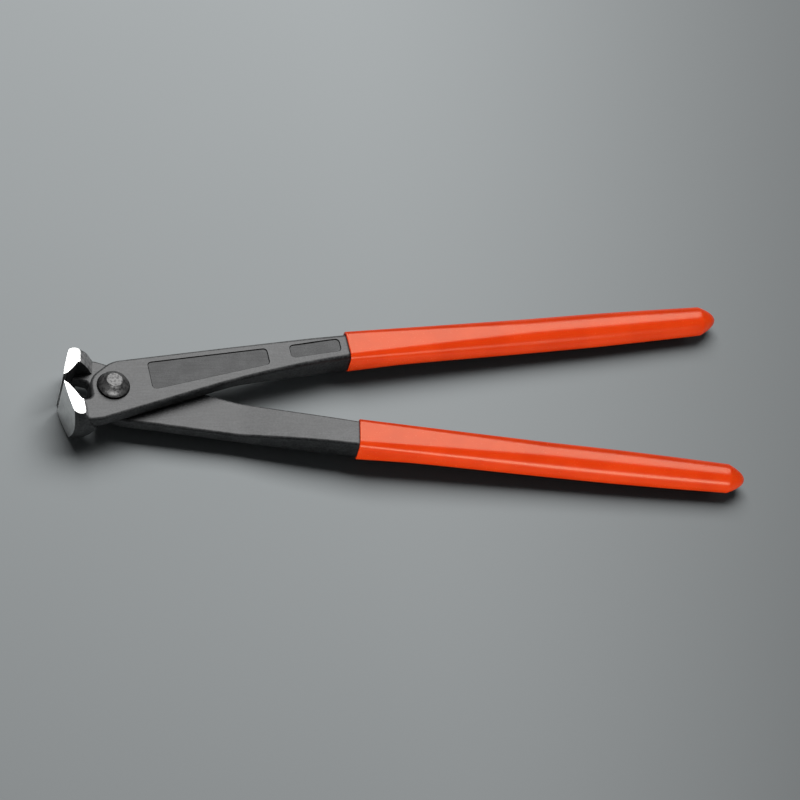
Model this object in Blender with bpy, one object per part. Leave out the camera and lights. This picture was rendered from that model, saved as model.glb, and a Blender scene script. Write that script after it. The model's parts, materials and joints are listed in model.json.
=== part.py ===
"""Front cutting pliers with long handles, laid down on a flat surface with the jaws a little open.

Two forged steel levers cross in a half lap joint and turn on one rivet. Each lever is a jaw, a
joint plate, an arm and a tang, and each tang wears a dipped plastic grip.

The tool frame has its origin on the rivet's axis, midway between the two plates. -X points to the
cutting edges, +X along the handles, +Y to the upper lever's handle and +Z along the rivet, to the
upper lever's face. A lever is drawn in its own frame, which is the tool frame with the jaws shut.
The upper lever keeps that drawing, and the lower lever is the same forging turned over.

Lengths are in metres and angles in radians.
"""

import math

import bmesh
import bpy
from mathutils import Matrix, Vector

# Pose at rest
REST_ANGLE = math.radians(5.8)
STEEPEST_TILT = math.radians(5)
TILT_TRIALS = 20

# Joint plate, measured from the rivet's axis and from the plane where the levers meet
PLATE_TOP = 0.0061
LAP_GAP = 0.0003
HUB_RADIUS = 0.010
NECK_CORNER_DROP = 0.0047
NECK_CORNER_RADIUS = 0.002
SHOULDER_REACH = 0.0014
SHOULDER_RADIUS = 0.0135
PLATE_LENGTH = 0.054
PLATE_FACE_ROUND = 0.0015
PLATE_LAP_ROUND = 0.0014
PLATE_CORNER_RADIUS = 0.008

# Arm, from the plate to the grip
GRIP_START = 0.1080
ARM_OUTER_AT_PIVOT = 0.0131
ARM_OUTER_AT_GRIP = 0.0186
ARM_INNER_AT_PIVOT = 0.0149
ARM_BEND_LEAD = 0.008
ARM_SWEEP_POWER = 1.6
ARM_INNER_AT_BEND = 0.0038
ARM_WIDTH_AT_GRIP = 0.0127
ARM_HALF_HEIGHT_AT_GRIP = 0.0056
ARM_DIP_LENGTH = 0.018
ARM_RAMP_POWER = 1.6
ARM_CORNER_RADIUS = 0.0021
ARM_LAP_CORNER_RADIUS = 0.0012

# Jaw
FRONT_REACH = 0.0227
EDGE_PAST_CENTRE = 0.0006
HEAD_HALF_WIDTH = 0.0122
FRONT_APEX_PAST_CENTRE = 0.0095
FRONT_RADIUS = 0.110
JAW_OUT = 0.0183
JAW_OUT_AT_ENDS = 0.0153
JAW_CORNER_DROP = 0.0014
JAW_CORNER_RUN = 0.0019
JAW_CORNER_RADIUS = 0.0024
JAW_HEEL_RADIUS = 0.0021
END_FACE_BACK = 0.0151
END_FACE_LEAN_OUT = math.radians(5.5)
END_FACE_LEAN_BACK = math.radians(9.5)
FLARE_FOOT = 0.00865
NECK_TAPER = 0.0009
NECK_OUT = 0.0167
NECK_SINK = 0.0022
NECK_INNER_OUT = 0.0058
THROAT_LENGTH = 0.0068
THROAT_DEPTH = 0.0080
HEEL_SLOPE = math.tan(math.radians(11))
CUTTING_BEVEL_LENGTH = 0.0016
CUTTING_BEVEL_DROP = 0.0012

# Bare recessed panels in the upper lever's face
PANEL_DEPTH = 0.0004
PANEL_CORNER_RADIUS = 0.002
LONG_PANEL_START = 0.0169
LONG_PANEL_END = 0.0713
LONG_PANEL_OUTER_MARGIN = 0.0031
LONG_PANEL_INNER_MARGIN_AT_START = 0.0072
LONG_PANEL_INNER_MARGIN_AT_END = 0.0040
SHORT_PANEL_START = 0.0813
SHORT_PANEL_END = 0.1047
SHORT_PANEL_WIDTH = 0.0068
SHORT_PANEL_OFFSET = 0.0008

# Rivet
RIVET_RADIUS = 0.0042
RIVET_FIT = 0.0003
RIVET_HEAD_RADIUS = 0.0066
RIVET_TOP_RADIUS = 0.0043
RIVET_HEAD_HEIGHT = 0.0044
RIVET_RIM_HEIGHT = 0.0005
RIVET_EDGE_BEVEL = 0.0004

# Tang and grip
TIP_REACH = 0.2813
GRIP_AXIS_RISE = 0.0025
GRIP_WALL = 0.0010
GRIP_FIT = 0.0003
GRIP_CORNER_RADIUS = 0.0030
GRIP_LIP = 0.0004
GRIP_NOSE_LENGTH = 0.0075
GRIP_PLUG_LENGTH = 0.0060

# Points closer than this are one point
SAME_POINT = 1e-7

# Along the grip: place, width, height and how far the corners have turned into a round section
GRIP_SHARES = (
    (0.00, 1.00, 1.00, 0.00),
    (0.14, 1.00, 1.00, 0.25),
    (0.28, 1.00, 1.00, 0.50),
    (0.42, 1.01, 1.00, 0.78),
    (0.55, 1.01, 1.00, 1.00),
    (0.70, 0.99, 0.99, 1.00),
    (0.84, 0.93, 0.95, 1.00),
    (1.00, 0.84, 0.88, 1.00),
)
# Along the nose, from the grip's full section to its blunt tip
NOSE_SHARES = (0.0, 0.22, 0.44, 0.64, 0.80, 0.91, 0.98)
NOSE_POWER = 0.5
# A corner's greatest radius, of its section's half width or half height
ROUNDEST_SHARE = 0.945
# The throat's wall, from the cutting bevel to the bottom of the throat, along X and Y
THROAT_WALL_SHARES = ((0.50, 0.45), (0.78, 0.77))
# Levels up a jaw, from the middle plane to the ground end face
JAW_LEVEL_SHARES = (0.0, 0.07, 0.2, 0.4, 0.58, 0.74, 0.88, 1.0)
# How the flare behind the end face falls to the neck, in its own plate's layer and in the other
# one, where it ends in a small hollow foot
OWN_FLARE_SHARE_POWER = 0.78
FAR_FLARE_SHARE_POWER = 1.7
FAR_FOOT_SHARE = 0.13
FAR_FOOT_FALL_SHARE = 0.07

CORNER_STEPS = 3
GRIP_CORNER_STEPS = 5
FILLET_STEPS = 4
SHOULDER_STEPS = 8
HUB_STEPS = 10
FRONT_STEPS = 6
ARM_STATIONS = 7
TANG_STATIONS = 6
ROUND_STEPS = 48
SMOOTH_ANGLE = math.radians(32)
CUT_OVERRUN = 0.002


def clear_scene():
    """Empty the scene of the objects that it starts with."""
    for old in list(bpy.data.objects):
        bpy.data.objects.remove(old, do_unlink=True)


def material(name, colour, roughness, metallic):
    """A plain Principled material."""
    result = bpy.data.materials.new(name)
    result.use_nodes = True
    shader = result.node_tree.nodes["Principled BSDF"]
    shader.inputs["Base Color"].default_value = (*colour, 1.0)
    shader.inputs["Roughness"].default_value = roughness
    shader.inputs["Metallic"].default_value = metallic
    return result


def new_object(name, bm, finish=None, parent=None):
    """Turn a bmesh into a named object with smooth rounds and crisp edges."""
    bmesh.ops.remove_doubles(bm, verts=bm.verts, dist=SAME_POINT)
    bmesh.ops.recalc_face_normals(bm, faces=bm.faces)
    mesh = bpy.data.meshes.new(name)
    bm.to_mesh(mesh)
    bm.free()
    mesh.shade_smooth()
    mesh.set_sharp_from_angle(angle=SMOOTH_ANGLE)
    if finish:
        mesh.materials.append(finish)
    result = bpy.data.objects.new(name, mesh)
    bpy.context.collection.objects.link(result)
    result.parent = parent
    return result


def make_helper(helper):
    """Mark an object as a cutter or a blank that isn't a piece of the tool."""
    helper.hide_render = True
    helper.display_type = "WIRE"


def combine(target, tool, operation):
    """Add a Boolean of the given operation to an object."""
    make_helper(tool)
    step = target.modifiers.new(operation.lower(), "BOOLEAN")
    step.operation = operation
    step.solver = "EXACT"
    step.object = tool


def ring(bm, points):
    """Lay a closed loop of vertices and edges through the points."""
    verts = [bm.verts.new(point) for point in points]
    edges = [bm.edges.new((verts[i - 1], verts[i])) for i in range(len(verts))]
    return verts, edges


def loft(bm, outlines):
    """Bridge closed outlines one to the next, and cap the first and the last."""
    rings = [ring(bm, outline) for outline in outlines]
    for (_, first), (_, second) in zip(rings, rings[1:]):
        bmesh.ops.bridge_loops(bm, edges=first + second)
    bm.faces.new(rings[0][0])
    bm.faces.new(rings[-1][0])


def fillet(before, corner, after, radius, steps):
    """Points of a round in a corner, limited to half of its shorter side."""
    corner = Vector(corner)
    back = Vector(before) - corner
    ahead = Vector(after) - corner
    half_angle = back.angle(ahead) / 2
    tangent = min(radius / math.tan(half_angle), back.length / 2, ahead.length / 2)
    radius = tangent * math.tan(half_angle)
    middle = (back.normalized() + ahead.normalized()).normalized()
    centre = corner + middle * (radius / math.sin(half_angle))
    start = corner + back.normalized() * tangent - centre
    finish = corner + ahead.normalized() * tangent - centre
    sweep = start.angle_signed(finish)
    turned = []
    for step in range(steps + 1):
        angle = -sweep * step / steps
        cosine, sine = math.cos(angle), math.sin(angle)
        turned.append(centre + Vector((start.x * cosine - start.y * sine,
                                       start.x * sine + start.y * cosine)))
    return turned


def inset_path(points, distance):
    """Move a closed outline that runs anticlockwise inwards by a distance."""
    moved = []
    count = len(points)
    for i, point in enumerate(points):
        before = (point - points[i - 1]).normalized()
        after = (points[(i + 1) % count] - point).normalized()
        inward = Vector((-before.y - after.y, before.x + after.x)).normalized()
        moved.append(point + inward * (distance / inward.dot(Vector((-before.y, before.x)))))
    return moved


def arm_outer(x):
    """Y of the lever's outer edge."""
    return ARM_OUTER_AT_PIVOT + (ARM_OUTER_AT_GRIP - ARM_OUTER_AT_PIVOT) * x / GRIP_START


def arm_bend():
    """Where the lever's inner edge starts to sweep out, a little before the plate ends."""
    return PLATE_LENGTH - ARM_BEND_LEAD


def inner_slope():
    """Slope of the lever's inner edge past the joint."""
    return (ARM_INNER_AT_PIVOT - ARM_INNER_AT_BEND) / arm_bend()


def arm_inner(x):
    """Y of the lever's inner edge: straight past the joint, then sweeping out along the arm."""
    straight = inner_slope() * x - ARM_INNER_AT_PIVOT
    if x <= arm_bend():
        return straight
    straight_at_grip = inner_slope() * GRIP_START - ARM_INNER_AT_PIVOT
    sweep = straight_at_grip - (ARM_OUTER_AT_GRIP - ARM_WIDTH_AT_GRIP)
    return straight - sweep * ((x - arm_bend()) / (GRIP_START - arm_bend())) ** ARM_SWEEP_POWER


def arm_top(x):
    """Height of the lever's face above the middle plane."""
    dip = max(0.0, (x - GRIP_START + ARM_DIP_LENGTH) / ARM_DIP_LENGTH)
    return PLATE_TOP - (PLATE_TOP - ARM_HALF_HEIGHT_AT_GRIP) * dip


def arm_share(x):
    """How far along the arm a place lies, from the plate's end to the grip."""
    return (x - PLATE_LENGTH) / (GRIP_START - PLATE_LENGTH)


def arm_bottom(x):
    """Height of the lever's lap side, which ramps down from the plate to the grip."""
    fall = 1 - (1 - arm_share(x)) ** ARM_RAMP_POWER
    return LAP_GAP / 2 - (LAP_GAP / 2 + ARM_HALF_HEIGHT_AT_GRIP) * fall


def plate_outline():
    """The joint plate seen from above, anticlockwise, with its jaw end buried in the jaw."""
    outer_end = Vector((PLATE_LENGTH, arm_outer(PLATE_LENGTH)))
    inner_end = Vector((PLATE_LENGTH, arm_inner(PLATE_LENGTH)))
    shoulder = Vector((SHOULDER_REACH, arm_outer(SHOULDER_REACH)))
    leave = math.atan2(shoulder.y, shoulder.x) + math.acos(HUB_RADIUS / shoulder.length)
    hub = []
    for step in range(HUB_STEPS + 1):
        angle = leave + (math.pi - leave) * step / HUB_STEPS
        hub.append(Vector((math.cos(angle), math.sin(angle))) * HUB_RADIUS)
    neck = Vector((-HUB_RADIUS, -NECK_CORNER_DROP))
    root_inner = Vector((-END_FACE_BACK - NECK_SINK, -NECK_INNER_OUT))
    root_outer = Vector((-END_FACE_BACK - NECK_SINK, -NECK_OUT + NECK_SINK))
    heel = Vector((-END_FACE_BACK + NECK_SINK, -NECK_OUT))
    corner = Vector(((ARM_INNER_AT_PIVOT - NECK_OUT) / inner_slope(), -NECK_OUT))
    bend = Vector((arm_bend(), arm_inner(arm_bend())))
    outline = [outer_end]
    outline += fillet(outer_end, shoulder, hub[0], SHOULDER_RADIUS, SHOULDER_STEPS)
    outline += hub
    outline += fillet(hub[-1], neck, root_inner, NECK_CORNER_RADIUS, FILLET_STEPS)
    outline += [root_inner, root_outer, heel]
    outline += fillet(heel, corner, bend, PLATE_CORNER_RADIUS, FILLET_STEPS)
    outline += [bend, inner_end]
    return outline


def plate_levels():
    """Insets and heights that round the plate's two rims, from the lap side to the face."""
    levels = []
    for step in range(CORNER_STEPS + 1):
        angle = math.pi / 2 * step / CORNER_STEPS
        levels.append((PLATE_LAP_ROUND * (1 - math.sin(angle)),
                       LAP_GAP / 2 + PLATE_LAP_ROUND * (1 - math.cos(angle))))
    for step in range(CORNER_STEPS + 1):
        angle = math.pi / 2 * step / CORNER_STEPS
        levels.append((PLATE_FACE_ROUND * (1 - math.cos(angle)),
                       PLATE_TOP - PLATE_FACE_ROUND * (1 - math.sin(angle))))
    return levels


def plate_rings():
    """The plate's outline at each level, with its handle end kept square."""
    outline = plate_outline()
    rings = []
    for inset, height in plate_levels():
        points = inset_path(outline, inset)
        points[0] = Vector((outline[0].x, outline[0].y - inset))
        points[-1] = Vector((outline[-1].x, outline[-1].y + inset))
        rings.append([(point.x, point.y, height) for point in points])
    return rings


def box_section(x, low, high, bottom, top, bottom_round, top_round, steps):
    """A rounded section across the handle, from the outer side's foot over the top and back."""
    points = []
    corners = (
        (high - bottom_round, bottom + bottom_round, bottom_round, -math.pi / 2),
        (high - top_round, top - top_round, top_round, 0.0),
        (low + top_round, top - top_round, top_round, math.pi / 2),
        (low + bottom_round, bottom + bottom_round, bottom_round, math.pi),
    )
    for centre_y, centre_z, radius, start in corners:
        for step in range(steps + 1):
            angle = start + math.pi / 2 * step / steps
            points.append((x, centre_y + radius * math.cos(angle),
                           centre_z + radius * math.sin(angle)))
    return points


def arm_section(x):
    """The arm's section at a place between the plate and the grip."""
    share = arm_share(x)
    bottom_round = PLATE_LAP_ROUND + (ARM_LAP_CORNER_RADIUS - PLATE_LAP_ROUND) * share
    top_round = PLATE_FACE_ROUND + (ARM_CORNER_RADIUS - PLATE_FACE_ROUND) * share
    return box_section(x, arm_inner(x), arm_outer(x), arm_bottom(x), arm_top(x),
                       bottom_round, top_round, CORNER_STEPS)


def grip_axis(x):
    """Y of the grip's middle line."""
    start = ARM_OUTER_AT_GRIP - ARM_WIDTH_AT_GRIP / 2
    return start + GRIP_AXIS_RISE * (x - GRIP_START) / (TIP_REACH - GRIP_START)


def grip_sizes(share):
    """Half width, half height and corner radius of the grip's outside along its body."""
    half_width = ARM_WIDTH_AT_GRIP / 2 + GRIP_FIT + GRIP_WALL
    half_height = ARM_HALF_HEIGHT_AT_GRIP + GRIP_FIT + GRIP_WALL
    for first, second in zip(GRIP_SHARES, GRIP_SHARES[1:]):
        if share <= second[0]:
            break
    blend = (share - first[0]) / (second[0] - first[0])
    width, height, roundness = (a + (b - a) * blend for a, b in zip(first[1:], second[1:]))
    half_width *= width
    half_height *= height
    full_round = min(half_width, half_height)
    return half_width, half_height, GRIP_CORNER_RADIUS + (full_round - GRIP_CORNER_RADIUS) * roundness


def grip_section(x, inset, steps):
    """The grip's section at a place along its body, drawn in by an inset."""
    body_length = TIP_REACH - GRIP_NOSE_LENGTH - GRIP_START
    half_width, half_height, radius = grip_sizes((x - GRIP_START) / body_length)
    middle = grip_axis(x)
    width, height, corner = half_width - inset, half_height - inset, radius - inset
    corner = min(corner, width * ROUNDEST_SHARE, height * ROUNDEST_SHARE)
    return box_section(x, middle - width, middle + width, -height, height, corner, corner, steps)


def spread(first, last, count):
    """Evenly spaced places from the first to the last, without the first."""
    return [first + (last - first) * (step + 1) / count for step in range(count)]


def tang_end():
    """Where the tang stops inside the grip."""
    return TIP_REACH - GRIP_NOSE_LENGTH - GRIP_PLUG_LENGTH


def handle_sections():
    """Sections of the arm and of the tang that runs on inside the grip."""
    sections = [arm_section(x) for x in [PLATE_LENGTH] + spread(PLATE_LENGTH, GRIP_START, ARM_STATIONS)]
    inset = GRIP_WALL + GRIP_FIT
    for x in spread(GRIP_START, tang_end(), TANG_STATIONS):
        sections.append(grip_section(x, inset, CORNER_STEPS))
    return sections


def plate_and_arm(name, finish, parent):
    """The plate and the handle in one skin: two lofts that share the section between them."""
    bm = bmesh.new()
    loft(bm, plate_rings())
    loft(bm, handle_sections())
    between = [face for face in bm.faces
               if all(abs(vert.co.x - PLATE_LENGTH) < SAME_POINT for vert in face.verts)]
    bmesh.ops.delete(bm, geom=between, context="FACES_ONLY")
    return new_object(name, bm, finish, parent)


def front_point(y):
    """Point on the ground front face, which is slightly domed."""
    lean = FRONT_RADIUS - math.sqrt(FRONT_RADIUS ** 2 - (y - FRONT_APEX_PAST_CENTRE) ** 2)
    return Vector((lean - FRONT_REACH, y))


def flare_share(share):
    """How far a flare has run from its foot to the end face's back edge at a jaw's level."""
    if share > 0:
        return share ** OWN_FLARE_SHARE_POWER
    hollow = 1 - math.exp(share / FAR_FOOT_FALL_SHARE)
    return (1 - FAR_FOOT_SHARE) * abs(share) ** FAR_FLARE_SHARE_POWER + FAR_FOOT_SHARE * hollow


def jaw_level(share):
    """A jaw's outline from above at a level, as a share of the way out to its ground end face.

    The share is positive in the layer of the lever's own plate and negative in the other layer.
    """
    back = -(FLARE_FOOT + (END_FACE_BACK - FLARE_FOOT) * flare_share(share))
    out = -(JAW_OUT - (JAW_OUT - JAW_OUT_AT_ENDS) * share ** 2)
    face_end = out + JAW_CORNER_DROP
    front = [front_point(y)
             for y in [EDGE_PAST_CENTRE] + spread(EDGE_PAST_CENTRE, face_end, FRONT_STEPS)]
    corner = front[-1] + Vector((JAW_CORNER_RUN, -JAW_CORNER_DROP))
    heel = Vector((back, out + NECK_TAPER * (1 - abs(share)) ** 2))
    bevel = front[0] + Vector((CUTTING_BEVEL_LENGTH, -CUTTING_BEVEL_DROP))
    bottom = Vector((THROAT_LENGTH - FRONT_REACH, -THROAT_DEPTH))
    inside = Vector((back, -THROAT_DEPTH - (back - bottom.x) * HEEL_SLOPE))
    wall = [Vector((bevel.x + (bottom.x - bevel.x) * x_share, bevel.y + (bottom.y - bevel.y) * y_share))
            for x_share, y_share in reversed(THROAT_WALL_SHARES)]
    outline = front + fillet(front[-1], corner, heel, JAW_CORNER_RADIUS, FILLET_STEPS)
    outline += fillet(corner, heel, inside, JAW_HEEL_RADIUS, FILLET_STEPS)
    return outline + [inside, bottom] + wall + [bevel]


def end_face_height(x, y):
    """Height of the ground end face, which leans down outwards and towards the joint."""
    return (HEAD_HALF_WIDTH + y * math.tan(END_FACE_LEAN_OUT)
            - (x + FRONT_REACH) * math.tan(END_FACE_LEAN_BACK))


def jaw_blank(parent):
    """The jaw: a stack of levels between its two ground end faces."""
    shares = [-share for share in reversed(JAW_LEVEL_SHARES[1:])] + list(JAW_LEVEL_SHARES)
    bm = bmesh.new()
    loft(bm, [[(point.x, point.y, share * end_face_height(*point))
               for point in jaw_level(share)] for share in shares])
    return new_object("jaw_blank", bm, parent=parent)


def rivet_bore(parent):
    """Cutter for the hole that the rivet passes through."""
    bm = bmesh.new()
    bmesh.ops.create_cone(bm, cap_ends=True, segments=ROUND_STEPS, radius1=RIVET_RADIUS + RIVET_FIT,
                          radius2=RIVET_RADIUS + RIVET_FIT, depth=2 * (PLATE_TOP + CUT_OVERRUN))
    return new_object("rivet_bore", bm, parent=parent)


def panel_cutter(name, corners, parent):
    """Cutter for a shallow recess with rounded corners in the lever's face."""
    outline = []
    for i, corner in enumerate(corners):
        outline += fillet(corners[i - 1], corner, corners[(i + 1) % len(corners)],
                          PANEL_CORNER_RADIUS, FILLET_STEPS)
    bm = bmesh.new()
    loft(bm, [[(point.x, point.y, height) for point in outline]
              for height in (PLATE_TOP - PANEL_DEPTH, PLATE_TOP + CUT_OVERRUN)])
    return new_object(name, bm, parent=parent)


def long_panel(parent):
    """Recess beside the joint, which narrows with the lever."""
    outer_start = arm_outer(LONG_PANEL_START) - LONG_PANEL_OUTER_MARGIN
    outer_end = arm_outer(LONG_PANEL_END) - LONG_PANEL_OUTER_MARGIN
    inner_start = arm_inner(LONG_PANEL_START) + LONG_PANEL_INNER_MARGIN_AT_START
    inner_end = arm_inner(LONG_PANEL_END) + LONG_PANEL_INNER_MARGIN_AT_END
    corners = [Vector((LONG_PANEL_START, outer_start)), Vector((LONG_PANEL_START, inner_start)),
               Vector((LONG_PANEL_END, inner_end)), Vector((LONG_PANEL_END, outer_end))]
    return panel_cutter("long_panel", corners, parent)


def short_panel(parent):
    """Narrow recess in the middle of the arm, in front of the grip."""
    corners = []
    for x, sides in ((SHORT_PANEL_START, (1, -1)), (SHORT_PANEL_END, (-1, 1))):
        middle = (arm_outer(x) + arm_inner(x)) / 2 + SHORT_PANEL_OFFSET
        corners += [Vector((x, middle + side * SHORT_PANEL_WIDTH / 2)) for side in sides]
    return panel_cutter("short_panel", corners, parent)


def lever(name, finish, rotation, parent):
    """A forged lever with its jaw joined on and its rivet hole cut."""
    result = plate_and_arm(name, finish, parent)
    combine(result, jaw_blank(result), "UNION")
    combine(result, rivet_bore(result), "DIFFERENCE")
    result.rotation_euler = rotation
    return result


def grip(name, finish, parent):
    """A dipped sleeve: rectangular where it starts, round further on and blunt at its tip."""
    bm = bmesh.new()
    body_end = TIP_REACH - GRIP_NOSE_LENGTH
    outside = [grip_section(GRIP_START, GRIP_LIP, GRIP_CORNER_STEPS)]
    lip = GRIP_START + GRIP_LIP
    stations = [lip] + [GRIP_START + (body_end - GRIP_START) * row[0] for row in GRIP_SHARES[1:]]
    outside += [grip_section(x, 0.0, GRIP_CORNER_STEPS) for x in stations]
    half_width, half_height, _ = grip_sizes(1.0)
    for share in NOSE_SHARES[1:]:
        x = body_end + GRIP_NOSE_LENGTH * share
        scale = (1 - share) ** NOSE_POWER
        width, height = half_width * scale, half_height * scale
        corner = min(width, height) * ROUNDEST_SHARE
        outside.append(box_section(x, grip_axis(x) - width, grip_axis(x) + width, -height, height,
                                   corner, corner, GRIP_CORNER_STEPS))
    inside = [grip_section(x, GRIP_WALL, GRIP_CORNER_STEPS)
              for x in [lip] + spread(GRIP_START, tang_end(), TANG_STATIONS)]
    inside[-1] = [(x + GRIP_FIT, y, z) for x, y, z in inside[-1]]
    loft(bm, list(reversed(inside)) + outside)
    return new_object(name, bm, finish, parent)


def rivet(finish, parent):
    """The joint rivet: a shank with a raised flat-topped cone at each end."""
    seat = PLATE_TOP + RIVET_FIT
    top = seat + RIVET_HEAD_HEIGHT
    half = [(0.0, top), (RIVET_TOP_RADIUS - RIVET_EDGE_BEVEL, top),
            (RIVET_TOP_RADIUS, top - RIVET_EDGE_BEVEL),
            (RIVET_HEAD_RADIUS, seat + RIVET_RIM_HEIGHT), (RIVET_HEAD_RADIUS, seat),
            (RIVET_RADIUS, seat)]
    profile = half + [(radius, -height) for radius, height in reversed(half)]
    bm = bmesh.new()
    verts = [bm.verts.new((radius, 0.0, height)) for radius, height in profile]
    edges = [bm.edges.new(pair) for pair in zip(verts, verts[1:])]
    bmesh.ops.spin(bm, geom=verts + edges, cent=(0, 0, 0), axis=(0, 0, 1), angle=2 * math.pi,
                   steps=ROUND_STEPS, use_merge=True)
    return new_object("joint_rivet", bm, finish, parent)


def points_of(pieces):
    """Positions of all vertices of some finished pieces, with their Booleans worked out."""
    bpy.context.view_layer.update()
    graph = bpy.context.evaluated_depsgraph_get()
    points = []
    for piece in pieces:
        ready = piece.evaluated_get(graph)
        points += [ready.matrix_world @ vert.co for vert in ready.data.vertices]
    return points


def lay_down(attitude, levers, grips):
    """Tip the tool until the head and the grips' ends rest on the ground, and centre it there."""
    head = points_of(levers)
    handles = points_of(grips)
    low, high = 0.0, STEEPEST_TILT
    for _ in range(TILT_TRIALS):
        tilt = (low + high) / 2
        turn = Matrix.Rotation(tilt, 3, "Y")
        if min((turn @ point).z for point in handles) > min((turn @ point).z for point in head):
            low = tilt
        else:
            high = tilt
    points = [turn @ point for point in head + handles]
    attitude.rotation_euler.y = tilt
    for axis in (0, 1):
        values = [point[axis] for point in points]
        attitude.location[axis] = -(min(values) + max(values)) / 2
    attitude.location.z = -min(point.z for point in points)


def build():
    """Make the five pieces and lay the tool down."""
    clear_scene()
    steel = material("black_steel", (0.035, 0.036, 0.038), 0.42, 0.75)
    rivet_steel = material("rivet_steel", (0.055, 0.056, 0.058), 0.38, 0.80)
    plastic = material("dipped_plastic", (0.86, 0.085, 0.015), 0.28, 0.0)

    attitude = bpy.data.objects.new("resting_attitude", None)
    bpy.context.collection.objects.link(attitude)
    upper = lever("upper_lever", steel, (0.0, 0.0, REST_ANGLE), attitude)
    combine(upper, long_panel(upper), "DIFFERENCE")
    combine(upper, short_panel(upper), "DIFFERENCE")
    lower = lever("lower_lever", steel, (math.pi, 0.0, -REST_ANGLE), attitude)
    upper_grip = grip("upper_grip", plastic, upper)
    lower_grip = grip("lower_grip", plastic, lower)
    rivet(rivet_steel, attitude)
    lay_down(attitude, [upper, lower], [upper_grip, lower_grip])


build()
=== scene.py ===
"""Front cutting pliers lying on a pale studio floor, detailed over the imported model's frame.

Two forged levers with ground jaws, the joint rivet and two dipped grips each replace a CAD node.
A lever is drawn in its own frame: the origin is on the rivet's axis in the plane where the levers
meet, -X points to the cutting edges and +X along the handle. `ToolPose` places that frame.

Lengths are in metres and angles in radians.
"""

from __future__ import annotations

import json
import logging
import math
from dataclasses import dataclass
from enum import Enum, IntEnum
from typing import Callable, Iterable, Optional, Sequence, Union

import bmesh
import bpy
from mathutils import Matrix, Vector

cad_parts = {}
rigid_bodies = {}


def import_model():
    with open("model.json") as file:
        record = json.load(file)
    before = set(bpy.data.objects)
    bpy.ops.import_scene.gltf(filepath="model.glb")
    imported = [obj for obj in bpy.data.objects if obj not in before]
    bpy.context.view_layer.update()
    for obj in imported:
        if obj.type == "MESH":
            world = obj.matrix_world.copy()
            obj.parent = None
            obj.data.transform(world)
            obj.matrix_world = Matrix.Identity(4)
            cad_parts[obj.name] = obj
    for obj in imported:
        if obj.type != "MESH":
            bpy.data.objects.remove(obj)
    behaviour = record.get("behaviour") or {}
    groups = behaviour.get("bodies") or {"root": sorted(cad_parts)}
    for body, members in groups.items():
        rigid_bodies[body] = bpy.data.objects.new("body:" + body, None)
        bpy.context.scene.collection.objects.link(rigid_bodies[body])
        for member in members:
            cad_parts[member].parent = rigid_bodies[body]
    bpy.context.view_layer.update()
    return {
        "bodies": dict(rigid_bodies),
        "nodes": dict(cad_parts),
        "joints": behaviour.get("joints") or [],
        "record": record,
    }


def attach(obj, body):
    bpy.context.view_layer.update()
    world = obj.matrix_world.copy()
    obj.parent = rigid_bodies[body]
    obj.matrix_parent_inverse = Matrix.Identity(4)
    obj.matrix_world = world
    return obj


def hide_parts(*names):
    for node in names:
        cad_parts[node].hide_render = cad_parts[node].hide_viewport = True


LOG = logging.getLogger("pliers")

Span = tuple[float, float]
Point = tuple[float, float, float]
Colour = tuple[float, float, float]
Finish = bpy.types.Material
Piece = bpy.types.Object


class Zone(IntEnum):
    """Material slots of a lever."""

    OXIDE = 0
    GROUND = 1
    PANEL = 2
    # painted highlight along crisp edges
    EDGE_GLINT = 3
    # rough forged flare behind the end face, with painted sheen in its pale colour
    BACK = 4
    # painted shade in the panels' walls and the ring round the rivet
    SEAM = 5


class Body(Enum):
    """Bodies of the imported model."""

    UPPER = "upper_half"
    LOWER = "lower_half"


class Operation(Enum):
    """Boolean operations."""

    UNION = "UNION"
    CUT = "DIFFERENCE"


# --- plane geometry ---


def spread(first: float, last: float, count: int) -> list[float]:
    """Evenly spaced values from the first to the last, in a number of steps."""
    return [first + (last - first) * step / count for step in range(count + 1)]


def smooth_step(value: float) -> float:
    """Ease from 0 to 1."""
    value = min(1.0, max(0.0, value))
    return value * value * (3 - 2 * value)


def fillet(before: Vector, corner: Vector, after: Vector, radius: float,
           steps: int) -> list[Vector]:
    """Round a corner of an outline.

    Args:
        before: The outline's point before the corner.
        corner: The corner itself.
        after: The outline's point after the corner.
        radius: Wanted radius, which is held to half of the shorter side.
        steps: Number of segments in the round.

    Returns:
        The points of the round, in the outline's order.
    """
    back, ahead = before - corner, after - corner
    half_angle = back.angle(ahead) / 2
    tangent = min(radius / math.tan(half_angle), back.length / 2, ahead.length / 2)
    radius = tangent * math.tan(half_angle)
    middle = (back.normalized() + ahead.normalized()).normalized()
    centre = corner + middle * (radius / math.sin(half_angle))
    start = corner + back.normalized() * tangent - centre
    sweep = start.angle_signed(corner + ahead.normalized() * tangent - centre)
    points = []
    for angle in spread(0.0, -sweep, steps):
        cosine, sine = math.cos(angle), math.sin(angle)
        points.append(centre + Vector((start.x * cosine - start.y * sine,
                                       start.x * sine + start.y * cosine)))
    return points


def inset_path(points: Sequence[Vector], distance: float) -> list[Vector]:
    """Move a closed anticlockwise outline inwards.

    Args:
        points: The outline's corners.
        distance: How far each side moves.

    Returns:
        The moved corners.
    """
    moved = []
    for i, point in enumerate(points):
        before = (point - points[i - 1]).normalized()
        after = (points[(i + 1) % len(points)] - point).normalized()
        inward = Vector((-before.y - after.y, before.x + after.x)).normalized()
        moved.append(point + inward * (distance / inward.dot(Vector((-before.y, before.x)))))
    return moved


def split_sides(points: Sequence[Vector], longest: float) -> list[Vector]:
    """Add points to a closed outline so that no side is much longer than a length.

    Args:
        points: The outline's corners.
        longest: That length.

    Returns:
        The corners with the new points between them.
    """
    split = []
    for before, point in zip([points[-1], *points], points):
        pieces = max(1, round((point - before).length / longest))
        split += [before.lerp(point, (step + 1) / pieces) for step in range(pieces)]
    return split


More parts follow.
